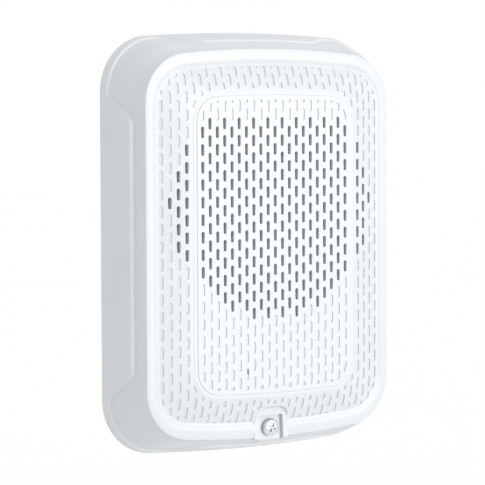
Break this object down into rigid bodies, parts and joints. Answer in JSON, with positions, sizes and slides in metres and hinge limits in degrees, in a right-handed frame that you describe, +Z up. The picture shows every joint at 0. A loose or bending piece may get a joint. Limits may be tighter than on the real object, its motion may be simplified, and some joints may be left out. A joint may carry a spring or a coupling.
{
  "type": "wall alarm sounder",
  "caption": "Rectangular white wall alarm sounder with round corners, a slotted grille over a loudspeaker, and one screw in a collar at the bottom.",
  "frame": {"origin": "middle of the wall face, on the plane of the wall", "axes": "+Y into the wall, the front faces -Y; +Z up; +X to the right as seen from the front"},
  "size_m": [0.1284, 0.0466, 0.1659],
  "materials": {
    "cover_white": "fine satin moulded plastic",
    "plate_white": "plain moulded plastic",
    "brass": "stamped, dull",
    "black_plastic": "glass-filled moulding",
    "screen_cloth": "open woven dust cloth",
    "foam": "closed-cell foam",
    "basket_steel": "grey coated pressing",
    "plated_steel": "zinc plated",
    "ferrite": "ground ferrite",
    "surround_rubber": "matt",
    "spider_cloth": "resin-stiffened cloth",
    "board_green": "solder mask",
    "capacitor_red": "dipped",
    "core_iron": "varnished laminations",
    "coil_tape": "wrapped tape",
    "cone_paper": "pressed pulp",
    "copper": "enamelled winding",
    "ivory_plastic": "moulded",
    "fibre": "vulcanised fibre",
    "bright_screw": "bright zinc plated"
  },
  "bodies": {
    "plate": {"mounting_plate": "plate_white", "threaded_insert": "brass", "terminal_block": "black_plastic", "block_screw_1": "plated_steel", "block_screw_2": "plated_steel", "terminal_contact_1": "brass", "terminal_contact_2": "brass", "terminal_contact_3": "brass", "terminal_contact_4": "brass"},
    "cover": {"front_cover": "cover_white", "dust_screen": "screen_cloth", "speaker_gasket": "foam", "speaker_basket": "basket_steel", "front_pole_plate": "plated_steel", "ring_magnet": "ferrite", "magnet_yoke": "plated_steel", "speaker_surround": "surround_rubber", "speaker_spider": "spider_cloth", "circuit_board": "board_green", "pin_header": "black_plastic", "power_selector_base": "black_plastic", "voltage_selector_base": "black_plastic", "blocking_capacitor": "capacitor_red", "transformer_core": "core_iron", "transformer_coil": "coil_tape", "transformer_strap": "plated_steel", "board_screw_1": "plated_steel", "board_screw_2": "plated_steel", "strap_screw_1": "plated_steel", "strap_screw_2": "plated_steel", "speaker_screw_1": "plated_steel", "speaker_screw_2": "plated_steel", "speaker_screw_3": "plated_steel", "speaker_screw_4": "plated_steel", "contact_pin_1": "brass", "contact_pin_2": "brass", "contact_pin_3": "brass", "contact_pin_4": "brass"},
    "cone": {"speaker_cone": "cone_paper", "dust_cap": "cone_paper", "voice_coil": "copper"},
    "power_dial": {"power_selector_dial": "ivory_plastic"},
    "voltage_slider": {"voltage_selector_slider": "ivory_plastic"},
    "screw_retainer": {"retaining_washer": "fibre"},
    "cover_screw": {"cover_screw": "bright_screw"},
    "clamp_1": {"terminal_clamp_1": "plated_steel"},
    "terminal_screw_1": {"terminal_screw_1": "plated_steel"},
    "clamp_2": {"terminal_clamp_2": "plated_steel"},
    "terminal_screw_2": {"terminal_screw_2": "plated_steel"},
    "clamp_3": {"terminal_clamp_3": "plated_steel"},
    "terminal_screw_3": {"terminal_screw_3": "plated_steel"},
    "clamp_4": {"terminal_clamp_4": "plated_steel"},
    "terminal_screw_4": {"terminal_screw_4": "plated_steel"}
  },
  "joints": [
    {"name": "cover_swing", "type": "hinge", "parent": "plate", "child": "cover", "pos_m": [0, -0.0022, 0.077], "axis": [-1, 0, 0], "range_deg": [0, 12]},
    {"name": "cone_travel", "type": "slide", "parent": "cover", "child": "cone", "axis": [0, -1, 0], "range_m": [-0.0008, 0.0008], "stiffness_N_per_m": 1500, "deforming": ["speaker_surround", "speaker_spider"]},
    {"name": "power_dial_turn", "type": "hinge", "parent": "cover", "child": "power_dial", "pos_m": [0.0295, -0.012, -0.05], "axis": [0, -1, 0], "range_deg": [-90, 0]},
    {"name": "voltage_slide", "type": "slide", "parent": "cover", "child": "voltage_slider", "axis": [1, 0, 0], "range_m": [0, 0.0034]},
    {"name": "cover_screw_travel", "type": "slide", "parent": "cover", "child": "screw_retainer", "axis": [0, -1, 0], "range_m": [0, 0.0055]},
    {"name": "cover_screw_turn", "type": "hinge", "parent": "screw_retainer", "child": "cover_screw", "pos_m": [0, -0.0212, -0.0724], "axis": [0, -1, 0], "range_deg": [-1, 2500]},
    {"name": "terminal_1_travel", "type": "slide", "parent": "plate", "child": "clamp_1", "axis": [0, -1, 0], "range_m": [0, 0.003]},
    {"name": "terminal_1_turn", "type": "hinge", "parent": "clamp_1", "child": "terminal_screw_1", "pos_m": [-0.0165, -0.0095, -0.0525], "axis": [0, -1, 0], "range_deg": [-1, 1362]},
    {"name": "terminal_2_travel", "type": "slide", "parent": "plate", "child": "clamp_2", "axis": [0, -1, 0], "range_m": [0, 0.003]},
    {"name": "terminal_2_turn", "type": "hinge", "parent": "clamp_2", "child": "terminal_screw_2", "pos_m": [-0.0055, -0.0095, -0.0525], "axis": [0, -1, 0], "range_deg": [-1, 1362]},
    {"name": "terminal_3_travel", "type": "slide", "parent": "plate", "child": "clamp_3", "axis": [0, -1, 0], "range_m": [0, 0.003]},
    {"name": "terminal_3_turn", "type": "hinge", "parent": "clamp_3", "child": "terminal_screw_3", "pos_m": [0.0055, -0.0095, -0.0525], "axis": [0, -1, 0], "range_deg": [-1, 1362]},
    {"name": "terminal_4_travel", "type": "slide", "parent": "plate", "child": "clamp_4", "axis": [0, -1, 0], "range_m": [0, 0.003]},
    {"name": "terminal_4_turn", "type": "hinge", "parent": "clamp_4", "child": "terminal_screw_4", "pos_m": [0.0165, -0.0095, -0.0525], "axis": [0, -1, 0], "range_deg": [-1, 1362]}
  ],
  "couplings": [
    {"joint": "cover_screw_turn", "follows": "cover_screw_travel", "rad_per_m": 7915.8},
    {"joint": "terminal_1_turn", "follows": "terminal_1_travel", "rad_per_m": 7915.8},
    {"joint": "terminal_2_turn", "follows": "terminal_2_travel", "rad_per_m": 7915.8},
    {"joint": "terminal_3_turn", "follows": "terminal_3_travel", "rad_per_m": 7915.8},
    {"joint": "terminal_4_turn", "follows": "terminal_4_travel", "rad_per_m": 7915.8}
  ]
}
